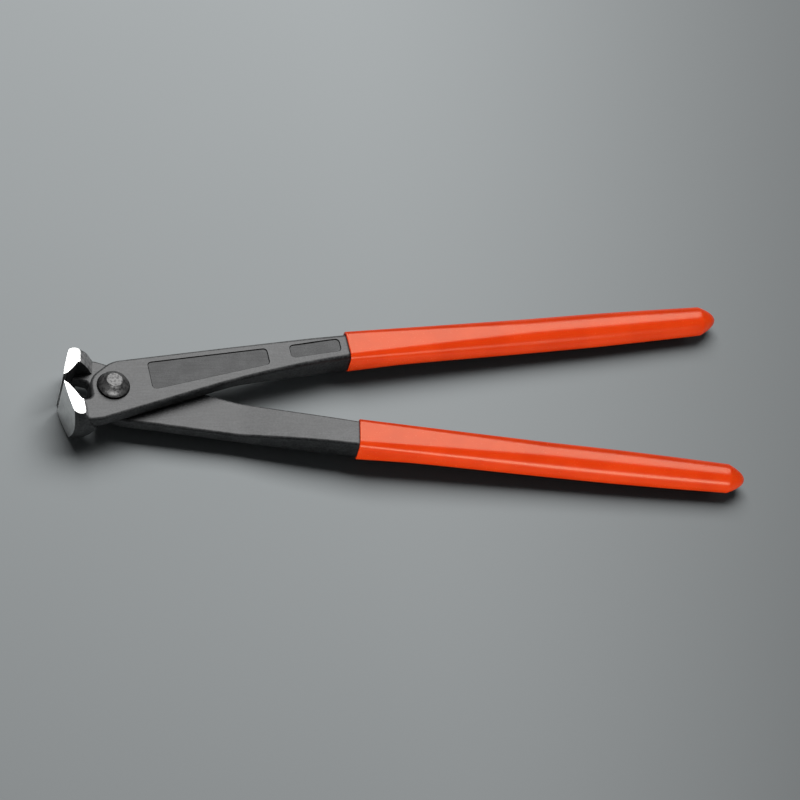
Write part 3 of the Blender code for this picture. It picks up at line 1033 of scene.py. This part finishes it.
@dataclass
class Lever:
    """One forged lever."""

    name: str
    handle: HandleSizes = HandleSizes()
    plate: PlateSizes = PlateSizes()
    jaw: JawSizes = JawSizes()
    panels: Optional[PanelSizes] = None
    tang_sections: Sequence[Sequence[Point]] = ()
    sharp_angle: float = math.radians(30)

    def plate_outline(self) -> list[Vector]:
        """Draw the joint plate from above, with its jaw end buried in the jaw.

        Returns:
            The outline's points, from the outer side's end round the hub to the inner side's.
        """
        handle, plate, jaw = self.handle, self.plate, self.jaw
        length, hub_radius, steps = handle.plate_length, plate.hub_radius, plate.corner_steps
        shoulder = Vector((plate.shoulder_reach, handle.outer(plate.shoulder_reach)))
        leave = math.atan2(shoulder.y, shoulder.x) + math.acos(hub_radius / shoulder.length)
        hub = [Vector((math.cos(turn), math.sin(turn))) * hub_radius
               for turn in spread(leave, math.pi, plate.hub_steps)]
        neck = Vector((-hub_radius, -plate.neck_corner_drop))
        root = [Vector((-jaw.end_back - jaw.neck_sink, -jaw.neck_inner_out)),
                Vector((-jaw.end_back - jaw.neck_sink, -jaw.neck_out + jaw.neck_sink)),
                Vector((-jaw.end_back + jaw.neck_sink, -jaw.neck_out))]
        corner = Vector(((handle.inner_at_pivot - jaw.neck_out) / handle.slope, -jaw.neck_out))
        outer_end = Vector((length, handle.outer(length)))
        inner_side = [Vector((x, handle.inner(x)))
                      for x in spread(handle.bend, length, handle.bend_steps)]
        return ([outer_end] + fillet(outer_end, shoulder, hub[0], plate.shoulder_radius, steps)
                + hub + fillet(hub[-1], neck, root[0], plate.neck_corner_radius, steps) + root
                + fillet(root[-1], corner, inner_side[0], plate.corner_radius, steps)
                + inner_side)

    def plate_rings(self) -> list[list[Point]]:
        """Draw the plate's outline at each level of its two rounded rims.

        Returns:
            The outlines, from the lap side up.
        """
        handle, outline, rings = self.handle, self.plate_outline(), []
        angles = spread(0.0, math.pi / 2, handle.corner_steps)
        levels = [(handle.lap_round * (1 - math.sin(angle)),
                   handle.lap_gap / 2 + handle.lap_round * (1 - math.cos(angle)))
                  for angle in angles]
        levels += [(handle.face_round * (1 - math.cos(angle)),
                    handle.plate_top - handle.face_round * (1 - math.sin(angle)))
                   for angle in angles]
        for inset, height in levels:
            points = inset_path(outline, inset)
            points[0] = Vector((outline[0].x, outline[0].y - inset))
            points[-1] = Vector((outline[-1].x, outline[-1].y + inset))
            rings.append([(point.x, point.y, height) for point in points])
        return rings

    def body(self, slack: float = 1e-6) -> Piece:
        """Make plate, arm and tang in one skin.

        Args:
            slack: How far a shared point may lie from the plane where plate and arm meet.

        Returns:
            The body.
        """
        handle, draft = self.handle, Draft()
        draft.loft(self.plate_rings())
        places = spread(handle.plate_length, handle.grip_start, handle.stations)
        draft.loft([handle.section(x) for x in places] + list(self.tang_sections))
        shared = [face for face in draft.bm.faces
                  if all(abs(vert.co.x - handle.plate_length) < slack for vert in face.verts)]
        bmesh.ops.delete(draft.bm, geom=shared, context="FACES_ONLY")
        return draft.finish(self.name)

    def jaw_blank(self) -> Piece:
        """Make the jaw as a stack of levels between its two ground end faces.

        Returns:
            The jaw, with its zones painted.
        """
        jaw, draft = self.jaw, Draft()
        steps = range(-jaw.levels, jaw.levels + 1)
        shares = [math.sin(math.pi / 2 * step / jaw.levels) for step in steps]
        caps = draft.loft([[(point.x, point.y, share * jaw.end_height(*point))
                            for point in jaw.outline(share)] for share in shares])
        # the flare takes a coarser grain and a pale colour that is painted sheen
        draft.paint(Zone.BACK, jaw.is_back)
        draft.paint(Zone.GROUND, jaw.is_ground)
        for cap in caps:
            cap.material_index = Zone.GROUND
        return draft.finish(self.name + "_jaw")

    def bore(self) -> Piece:
        """Make the cutter for the rivet's hole.

        Returns:
            The cutter.
        """
        radius, height, draft = self.plate.bore_radius, 2 * self.handle.plate_top, Draft()
        profile = [(0, -height), (radius, -height), (radius, height), (0, height)]
        draft.spin(profile, self.plate.bore_steps)
        return draft.finish(self.name + "_bore")

    def groove(self) -> Piece:
        """Make the cutter for the ring that the rivet's head leaves in the face.

        Returns:
            The cutter.
        """
        plate, top, draft = self.plate, self.handle.plate_top, Draft()
        middle = (plate.groove_inner + plate.groove_outer) / 2
        half = (plate.groove_outer - plate.groove_inner) / 2
        profile = [(middle + half * math.cos(angle), top - plate.groove_depth * math.sin(angle))
                   for angle in spread(0.0, math.pi, plate.groove_steps)]
        profile += [(middle - half, 2 * top), (middle + half, 2 * top)]
        draft.spin(profile, plate.groove_turn, closed=True)
        # the ring's faces take the painted shade of the recesses
        draft.paint(Zone.SEAM)
        return draft.finish(self.name + "_groove")

    def panel_corners(self) -> list[list[Vector]]:
        """Place the panels.

        Returns:
            The corners of the long panel and of the short one.
        """
        handle, panels = self.handle, self.panels
        start, end = panels.long_start, panels.long_end
        outer = [handle.outer(x) - panels.outer_margin for x in (start, end)]
        inner = [handle.inner(x) + margin for x, margin in zip((start, end), panels.inner_margins)]
        long_panel = [Vector((start, outer[0])), Vector((start, inner[0])),
                      Vector((end, inner[1])), Vector((end, outer[1]))]
        short_panel = []
        for x, sides in ((panels.short_start, (0.5, -0.5)), (panels.short_end, (-0.5, 0.5))):
            middle = (handle.outer(x) + handle.inner(x)) / 2 + panels.short_offset
            short_panel += [Vector((x, middle + side * panels.short_width)) for side in sides]
        return [long_panel, short_panel]

    def panel(self, name: str, corners: Sequence[Vector]) -> Piece:
        """Make the cutter for a panel, which follows the lever's face.

        Args:
            name: The cutter's name.
            corners: The panel's corners.

        Returns:
            The cutter.
        """
        panels, top, draft = self.panels, self.handle.top, Draft()
        outline: list[Vector] = []
        for i, corner in enumerate(corners):
            outline += fillet(corners[i - 1], corner, corners[(i + 1) % len(corners)],
                              panels.radius, panels.steps)
        outline = split_sides(outline, panels.stride)
        floor = draft.loft([[(point.x, point.y, top(point.x) - panels.depth * drop)
                             for point in inset_path(outline, panels.depth * inset)]
                            for drop, inset in panels.wall])[0]
        # the panel's wall takes the painted shade of the recesses
        draft.paint(Zone.SEAM)
        floor.material_index = Zone.PANEL
        return draft.finish(name)

    def break_edges(self, piece: Piece) -> None:
        """Bevel the crisp edges of the ground faces and the rims of the panels and the ring, and
        give the bevels the painted edge highlight.

        Args:
            piece: The lever.
        """
        bm = bmesh.new()
        bm.from_mesh(piece.data)
        bmesh.ops.dissolve_degenerate(bm, dist=1e-6, edges=bm.edges)
        crisp = []
        for edge in bm.edges:
            zones = {face.material_index for face in edge.link_faces}
            if (len(edge.link_faces) == 2
                    and edge.calc_face_angle_signed(0.0) >= self.jaw.crisp_angle
                    and (Zone.GROUND in zones or zones == {Zone.OXIDE, Zone.SEAM})):
                crisp.append(edge)
        # the bevels take the painted edge highlight
        bmesh.ops.bevel(bm, geom=crisp, offset=self.jaw.edge_break, segments=2, profile=0.5,
                        affect="EDGES", material=Zone.EDGE_GLINT, clamp_overlap=True)
        bm.to_mesh(piece.data)
        bm.free()

    def build(self) -> Piece:
        """Make the lever in its own frame.

        Returns:
            The lever.
        """
        piece = self.body()
        forge = Forge(piece)
        forge.combine(self.jaw_blank(), Operation.UNION)
        forge.combine(self.bore(), Operation.CUT)
        forge.combine(self.groove(), Operation.CUT)
        if self.panels:
            for name, corners in zip(("long_panel", "short_panel"), self.panel_corners()):
                forge.combine(self.panel(name, corners), Operation.CUT)
        forge.freeze()
        self.break_edges(piece)
        return piece

    def dress(self, piece: Piece, finishes: dict[Zone, Finish]) -> None:
        """Shade the lever and give each zone its finish.

        Args:
            piece: The lever.
            finishes: Finish of each zone.
        """
        for zone in Zone:
            piece.data.materials[zone] = finishes[zone]
        shade(piece, self.sharp_angle)


# --- grips ---


@dataclass(frozen=True)
class GripSizes:
    """Dipped sleeve: rectangular where it starts, soonest round underneath, round further on.

    A row of `shape` is a share of the body's length with its width, its height, and how far its
    upper and its lower corners have turned round there.
    """

    start: float = 0.1080
    tip: float = 0.2813
    axis_at_start: float = 0.01225
    axis_rise: float = 0.0025
    half_width: float = 0.00765
    half_height: float = 0.0069
    wall: float = 0.0010
    fit: float = 0.0003
    corner_radius: float = 0.0030
    fullness: float = 0.97
    lip: float = 0.0004
    nose: float = 0.0075
    plug: float = 0.0060
    socket: float = 0.0040
    nose_power: float = 0.5
    turned_over: bool = False
    shape: tuple[tuple[float, ...], ...] = (
        (0.00, 1.00, 1.00, 0.00, 0.35), (0.14, 1.00, 1.00, 0.25, 0.90),
        (0.28, 1.00, 1.00, 0.50, 1.00), (0.42, 1.01, 1.00, 0.78, 1.00),
        (0.55, 1.01, 1.00, 1.00, 1.00), (0.70, 0.99, 0.99, 1.00, 1.00),
        (0.84, 0.93, 0.95, 1.00, 1.00), (1.00, 0.84, 0.88, 1.00, 1.00))
    stations: int = 70
    tang_stations: int = 12
    nose_steps: int = 14
    lip_steps: int = 4
    corner_steps: int = 10

    @property
    def body_end(self) -> float:
        """Where the nose begins."""
        return self.tip - self.nose

    def axis(self, x: float) -> float:
        """Y of the middle line."""
        return self.axis_at_start + self.axis_rise * (x - self.start) / (self.tip - self.start)

    def at(self, share: float) -> tuple[float, float, float, float]:
        """Find the body's size.

        Args:
            share: Share of the body's length.

        Returns:
            Half width, half height, and the radius of the upper and of the lower corners.
        """
        for first, second in zip(self.shape, self.shape[1:]):
            if share <= second[0]:
                break
        blend = (share - first[0]) / (second[0] - first[0])
        width, height, *turned = (a + (b - a) * blend for a, b in zip(first[1:], second[1:]))
        width *= self.half_width
        height *= self.half_height
        room = min(width, height) - self.corner_radius
        return width, height, *(self.corner_radius + room * turn for turn in turned)

    def section(self, x: float, inset: float, steps: int) -> list[Point]:
        """Draw a section of the body.

        Args:
            x: Place along the lever.
            inset: How far it is drawn in.
            steps: Segments in each corner.

        Returns:
            The section's points.
        """
        share = (x - self.start) / (self.body_end - self.start)
        width, height, *corners = (size - inset for size in self.at(share))
        most = width * self.fullness, height * self.fullness
        crown, foot = (min(corner, *most) for corner in corners)
        middle, rounds = self.axis(x), (crown, foot) if self.turned_over else (foot, crown)
        return box_section(x, (middle - width, middle + width), (-height, height), rounds, steps)

    def tang(self, steps: int) -> list[list[Point]]:
        """Draw the sections of the tang inside the sleeve.

        Args:
            steps: Segments in each corner.

        Returns:
            The sections, without the one at the mouth.
        """
        places = spread(self.start, self.body_end - self.plug, self.tang_stations)[1:]
        return [self.section(x, self.wall + self.fit, steps) for x in places]


@dataclass
class Grip:
    """One dipped sleeve."""

    name: str
    sizes: GripSizes = GripSizes()
    sharp_angle: float = math.radians(40)

    def mouth(self) -> list[list[Point]]:
        """Draw the sections that round the sleeve's lip.

        Returns:
            The sections, from the foremost on.
        """
        sizes = self.sizes
        return [sizes.section(sizes.start + sizes.lip * (1 - math.cos(angle)),
                              sizes.lip * (1 - math.sin(angle)), sizes.corner_steps)
                for angle in spread(0.0, math.pi / 2, sizes.lip_steps)[:-1]]

    def nose_section(self, share: float) -> list[Point]:
        """Draw a section of the blunt nose.

        Args:
            share: Share of the nose's length.

        Returns:
            The section's points.
        """
        sizes = self.sizes
        x, scale = sizes.body_end + sizes.nose * share, (1 - share) ** sizes.nose_power
        width, height = (size * scale for size in sizes.at(1.0)[:2])
        corner, middle = min(width, height) * sizes.fullness, sizes.axis(x)
        return box_section(x, (middle - width, middle + width), (-height, height),
                           (corner, corner), sizes.corner_steps)

    def build(self) -> Piece:
        """Make the sleeve in its lever's frame, open for a short way behind its mouth.

        Returns:
            The sleeve.
        """
        sizes, draft = self.sizes, Draft()
        first = sizes.start + sizes.lip
        inside = [sizes.section(x, sizes.wall, sizes.corner_steps)
                  for x in (sizes.start + sizes.socket, first)]
        outside = [sizes.section(x, 0.0, sizes.corner_steps)
                   for x in spread(first, sizes.body_end, sizes.stations)]
        nose = [self.nose_section(1 - (1 - step) ** 2)
                for step in spread(0.0, 1.0, sizes.nose_steps)[1:-1]]
        draft.loft(inside + self.mouth() + outside + nose)
        return draft.finish(self.name)

    def dress(self, piece: Piece, finish: Finish) -> None:
        """Shade the sleeve and give it its finish."""
        piece.data.materials.append(finish)
        shade(piece, self.sharp_angle)


# --- rivet ---


@dataclass(frozen=True)
class RivetSizes:
    """Rivet with a raised flat-topped cone at each end.

    `rings` are shares of the dished top's radius. Below the cone, the rim narrows from
    `rim_waist` of its height down to its seat, by `rim_tuck` of that height.
    """

    shank_radius: float = 0.0042
    head_radius: float = 0.0066
    top_radius: float = 0.0039
    head_height: float = 0.0044
    rim_height: float = 0.0005
    rim_waist: float = 0.4
    rim_tuck: float = 0.3
    edge_round: float = 0.0007
    edge_turn: float = math.radians(62)
    dish: float = 0.00012
    rings: tuple[float, ...] = (0.0, 0.3, 0.6, 0.85, 1.0)
    seat: float = 0.0064
    belly: float = 0.0007
    edge_steps: int = 5
    flank_steps: int = 8
    steps: int = 96


@dataclass
class Rivet:
    """The joint's rivet."""

    name: str
    sizes: RivetSizes = RivetSizes()
    sharp_angle: float = math.radians(32)

    def half_profile(self) -> list[Span]:
        """Draw one end of the rivet from the side.

        Returns:
            Radius and height from the middle of the top down to the shank.
        """
        sizes = self.sizes
        top = sizes.seat + sizes.head_height
        flat = sizes.top_radius - sizes.edge_round
        profile = [(flat * share, top - sizes.dish * (1 - share ** 2)) for share in sizes.rings]
        profile += [(flat + sizes.edge_round * math.sin(angle),
                     top - sizes.edge_round * (1 - math.cos(angle)))
                    for angle in spread(0.0, sizes.edge_turn, sizes.edge_steps)[1:]]
        start, end = profile[-1], (sizes.head_radius, sizes.seat + sizes.rim_height)
        for share in spread(0.0, 1.0, sizes.flank_steps)[1:]:
            swell = sizes.belly * 4 * share * (1 - share)
            profile.append((start[0] + (end[0] - start[0]) * share + swell,
                            start[1] + (end[1] - start[1]) * share))
        return profile + [(sizes.head_radius, sizes.seat + sizes.rim_height * sizes.rim_waist),
                          (sizes.head_radius - sizes.rim_height * sizes.rim_tuck, sizes.seat),
                          (sizes.shank_radius, sizes.seat)]

    def build(self) -> Piece:
        """Make the rivet in the tool's frame.

        Returns:
            The rivet.
        """
        half, draft = self.half_profile(), Draft()
        other_end = [(radius, -height) for radius, height in reversed(half)]
        draft.spin(half + other_end, self.sizes.steps)
        return draft.finish(self.name)

    def dress(self, piece: Piece, finish: Finish) -> None:
        """Shade the rivet and give it its finish."""
        piece.data.materials.append(finish)
        shade(piece, self.sharp_angle)


# --- studio ---


@dataclass(frozen=True)
class Lamp:
    """A soft box that faces the frame's origin. A flagged one lights only the smooth pieces."""

    name: str
    place: Point
    size: Span
    power: float
    flagged: bool = False

    def build(self, smooth: bpy.types.Collection) -> None:
        """Hang the lamp.

        Args:
            smooth: The smooth pieces.
        """
        data = bpy.data.lights.new(self.name, "AREA")
        data.shape = "RECTANGLE"
        data.size, data.size_y = self.size
        data.energy = self.power
        lamp = link(self.name, data)
        lamp.location = self.place
        lamp.rotation_mode = "QUATERNION"
        lamp.rotation_quaternion = (-Vector(self.place)).to_track_quat("-Z", "Y")
        if self.flagged:
            lamp.light_linking.receiver_collection = smooth


@dataclass(frozen=True)
class PhotoCamera:
    """The photograph's camera, in the tool's frame with the joint at its origin."""

    place: Point = (-0.313876, -1.102090, 1.625125)
    right: Point = (0.975126, -0.116545, 0.188538)
    down: Point = (0.006968, -0.834067, -0.551619)
    ahead: Point = (0.221542, 0.539212, -0.812508)
    lens: float = 206.33
    sensor: float = 36
    shift: Span = (-0.0112, 0.0513)
    reach: Span = (0.01, 50)

    def build(self, tool: Matrix) -> None:
        """Set up the camera and make it the scene's.

        Args:
            tool: The tool's frame.
        """
        data = bpy.data.cameras.new("photo_camera")
        data.lens = self.lens
        data.sensor_width = self.sensor
        data.shift_x, data.shift_y = self.shift
        data.clip_start, data.clip_end = self.reach
        camera = link("photo_camera", data)
        columns = (Vector(self.right), -Vector(self.down), -Vector(self.ahead), Vector(self.place))
        rows = [[column[row] for column in columns] for row in range(3)] + [[0, 0, 0, 1]]
        camera.matrix_world = tool @ Matrix(rows)
        bpy.context.scene.camera = camera


@dataclass(frozen=True)
class Studio:
    """Floor, lamps and surroundings."""

    half_floor: float = 6.0
    floor_cells: int = 4
    surround: float = 0.03
    surround_colour: Colour = (0.94, 0.97, 1.0)
    lamps: tuple[Lamp, ...] = (
        Lamp("back_softbox", (0.19, 0.73, 1.08), (1.30, 0.84), 18.8),
        Lamp("front_softbox", (-0.20, -1.30, 0.42), (1.8, 0.5), 24.0, flagged=True))

    def build(self, paper: Finish, pieces: Sequence[Piece]) -> None:
        """Lay the floor and light the set.

        Args:
            paper: The floor's finish.
            pieces: The smooth pieces, which throw none of their colour on the others.
        """
        smooth = bpy.data.collections.new("smooth_pieces")
        for piece in pieces:
            smooth.objects.link(piece)
            piece.visible_diffuse = False
        draft = Draft()
        bmesh.ops.create_grid(draft.bm, x_segments=self.floor_cells, y_segments=self.floor_cells,
                              size=self.half_floor)
        floor = draft.finish("studio_floor")
        floor.data.materials.append(paper)
        for lamp in self.lamps:
            lamp.build(smooth)
        world = bpy.data.worlds.new("studio_surround")
        world.use_nodes = True
        backdrop = world.node_tree.nodes["Background"]
        backdrop.inputs["Color"].default_value = (*self.surround_colour, 1.0)
        backdrop.inputs["Strength"].default_value = self.surround
        bpy.context.scene.world = world
        bpy.context.scene.view_settings.view_transform = "Standard"


def main() -> None:
    """Build every piece over the frame, then the studio."""
    logging.basicConfig(level=logging.INFO, format="%(name)s: %(message)s")
    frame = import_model()
    pose = ToolPose.from_frame(frame)

    finishes = {
        Zone.OXIDE: BlackOxide().make(),
        Zone.GROUND: GroundSteel().make(),
        Zone.PANEL: BlackOxide("panel_oxide", roughness=0.55, shine=0.52, grain=0.0005).make(),
        # painted highlight along the crisp edges
        Zone.EDGE_GLINT: PaintedEdgeGlint().make(),
        # coarser forged grain, with a pale colour that is painted sheen from the back lamp
        Zone.BACK: BlackOxide("rough_forging_painted_sheen", (0.060, 0.061, 0.062), (0.400, 0.402, 0.404),
                              roughness=0.50, grain=0.0017, grain_height=0.00012).make(),
        # painted shade for the panels' walls and the ring round the rivet
        Zone.SEAM: BlackOxide("painted_recess_shade", (0.004, 0.004, 0.005), (0.020, 0.021, 0.022),
                              roughness=0.60, shine=0.12).make(),
    }
    plastic, handle, smooth = DippedPlastic().make(), HandleSizes(), []
    for name, panels, place, body in (("upper", PanelSizes(), pose.upper, Body.UPPER),
                                      ("lower", None, pose.lower, Body.LOWER)):
        sizes = GripSizes(turned_over=body is Body.LOWER)
        lever = Lever(f"{name}_lever_forging", handle, panels=panels,
                      tang_sections=sizes.tang(handle.corner_steps))
        forging = lever.build()
        lever.dress(forging, finishes)
        settle(forging, place, f"{name}_lever", body)
        grip = Grip(f"{name}_grip_sleeve", sizes)
        sleeve = grip.build()
        grip.dress(sleeve, plastic)
        settle(sleeve, place, f"{name}_grip", body)
        smooth.append(sleeve)

    rivet = Rivet("joint_rivet_detail")
    head = rivet.build()
    rivet.dress(head, RivetSteel().make())
    settle(head, pose.tool, "joint_rivet", Body.LOWER)

    Studio().build(StudioPaper().make(), smooth + [head])
    PhotoCamera().build(pose.tool)


if __name__ == "__main__":
    main()
